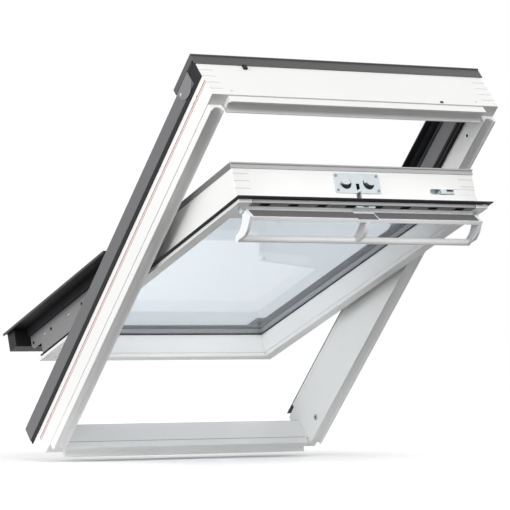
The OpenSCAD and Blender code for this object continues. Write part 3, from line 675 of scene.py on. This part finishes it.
def make_pocket_liner():
    """Filter fleece in the flap's pocket, where the lock's case fits when the flap is shut."""
    sides = (-LINER_HALF, LINER_HALF)
    liner = turned_box("pocket_liner", HINGE, FLAP_TURN, sides, LINER_OUT, LINER_RISE, FILTER_FLEECE)
    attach(liner, "flap")


def make_case_opening_shade():
    """Thin black sheet on the front of the lock's case: painted shade for its dark opening."""
    sides = (-OPENING_SHADE_HALF, OPENING_SHADE_HALF)
    window = pivot_box("case_opening_shade", SASH_TURN, sides, OPENING_SHADE_OUT, OPENING_SHADE_RISE, BLACK_PLASTIC)
    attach(window, "sash")


def make_gasket_lip():
    """Rubber lip that stands out from the sash's gasket at the sides and along the top."""
    side_in, side_out = LIP_SIDES
    top_in, top_out = LIP_TOP
    outline = [(-side_out, LIP_LOW), (-side_out, top_out), (side_out, top_out), (side_out, LIP_LOW),
               (side_in, LIP_LOW), (side_in, top_in), (-side_in, top_in), (-side_in, LIP_LOW)]
    corners = [slope_point(PIVOT, SASH_TURN, side, out - PIVOT_PLACE[0], rise - PIVOT_PLACE[1])
               for out in LIP_OUT for side, rise in outline]
    count = len(outline)
    bottom = [(0, 1, 6, 7), (1, 2, 5, 6), (2, 3, 4, 5)]
    faces = bottom + [tuple(i + count for i in reversed(face)) for face in bottom]
    faces += [(i, i + count, (i + 1) % count + count, (i + 1) % count) for i in range(count)]
    lip = add_piece("gasket_lip", corners, faces, BLACK_RUBBER)
    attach(lip, "sash")


def make_jamb_fillets():
    """Timber that carries the side covers' top legs along the lower half of the jambs."""
    for hand, name in ((-1, "left_jamb_fillet"), (1, "right_jamb_fillet")):
        sides = sorted(hand * side for side in FILLET_SIDES)
        fillet = pivot_box(name, ROOF_TURN, sides, FILLET_OUT, FILLET_RISE, WHITE_COAT)
        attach(fillet, "frame")


# stage

def foot_fade(tree, near, far):
    """A value that runs from near, round the window's foot, to far, over the rest of the floor."""
    away = tree.nodes.new("ShaderNodeVectorMath")
    away.operation = "LENGTH"
    tree.links.new(own_place(tree), away.inputs[0])
    fade = tree.nodes.new("ShaderNodeMapRange")
    fade.interpolation_type = "SMOOTHSTEP"
    for label, value in zip(("From Min", "From Max", "To Min", "To Max"), FOOT_REACH + (near, far)):
        fade.inputs[label].default_value = value
    tree.links.new(away.outputs["Value"], fade.inputs["Value"])
    return fade.outputs["Result"]


def floor_finish():
    """Pale floor that shows white to the camera, in metal and in glass, and keeps the window's shadow."""
    material, tree, shader = new_material("pale_floor")
    mottle = place_group(tree, COAT_MOTTLE, Slow_Scale=0.4, Fine_Scale=90.0, Amount=0.03)
    tone = math_node(tree, "MULTIPLY", foot_fade(tree, FOOT_TONE, FLOOR_TONE), mottle.outputs["Tone"])
    tree.links.new(tint(tree, WHITE, tone), shader.inputs["Base Color"])
    shader.inputs["Roughness"].default_value = FLOOR_ROUGHNESS
    shader.inputs["Specular IOR Level"].default_value = FLOOR_SPECULAR
    path = tree.nodes.new("ShaderNodeLightPath")
    glow = foot_fade(tree, FOOT_GLOW, FLOOR_GLOW)
    direct = math_node(tree, "MULTIPLY", path.outputs["Is Camera Ray"], glow)
    mirrored = math_node(tree, "MAXIMUM", path.outputs["Is Glossy Ray"], path.outputs["Is Transmission Ray"])
    mirrored = math_node(tree, "MULTIPLY", mirrored, FLOOR_GLOW)
    shader.inputs["Emission Color"].default_value = WHITE + (1.0,)
    tree.links.new(math_node(tree, "ADD", direct, mirrored), shader.inputs["Emission Strength"])
    return material


def make_floor():
    half = FLOOR_SIZE / 2
    level = cad_low.z - FLOOR_DROP
    corners = [(-half, -half, level), (half, -half, level), (half, half, level), (-half, half, level)]
    add_piece("floor", corners, [(0, 1, 2, 3)], floor_finish())


def make_world():
    world = bpy.data.worlds.new("studio")
    bpy.context.scene.world = world
    world.use_nodes = True
    tree = world.node_tree
    background = tree.nodes["Background"]
    background.inputs["Color"].default_value = WHITE + (1.0,)
    path = tree.nodes.new("ShaderNodeLightPath")
    seen = math_node(tree, "MAXIMUM", path.outputs["Is Camera Ray"], path.outputs["Is Glossy Ray"])
    seen = math_node(tree, "MAXIMUM", seen, path.outputs["Is Transmission Ray"])
    level = math_node(tree, "MULTIPLY", seen, 1.0 - SKY_LIGHT)
    tree.links.new(math_node(tree, "ADD", level, SKY_LIGHT), background.inputs["Strength"])


def soft_light(name, place, aim, size, power, spread=math.pi):
    data = bpy.data.lights.new(name, "AREA")
    data.shape = "RECTANGLE"
    data.size, data.size_y = size
    data.spread = spread
    data.energy = power
    lamp = bpy.data.objects.new(name, data)
    lamp.visible_camera = False
    lamp.location = place
    lamp.rotation_euler = (Vector(aim) - Vector(place)).to_track_quat("-Z", "Y").to_euler()
    bpy.context.scene.collection.objects.link(lamp)


def make_lamps():
    middle = (cad_low + cad_high) / 2
    for name, place, power in LAMPS:
        soft_light(name, middle + Vector(place), middle, LAMP_SIZE, power)
    soft_light("sash_front", SASH_LAMP_PLACE, SASH_LAMP_AIM, SASH_LAMP_SIZE, SASH_LAMP_POWER,
               SASH_LAMP_SPREAD)


def make_camera():
    data = bpy.data.cameras.new("camera")
    data.lens = CAMERA_LENS
    data.sensor_width = CAMERA_SENSOR
    camera = bpy.data.objects.new("camera", data)
    camera.location = CAMERA_PLACE
    camera.rotation_euler = (CAMERA_TILT, 0.0, CAMERA_TURN)
    bpy.context.scene.collection.objects.link(camera)
    bpy.context.scene.camera = camera


finish_nodes()
round_nodes()
make_pocket_liner()
make_case_opening_shade()
make_gasket_lip()
make_jamb_fillets()
make_floor()
make_world()
make_lamps()
make_camera()
bpy.context.scene.view_settings.view_transform = "Standard"
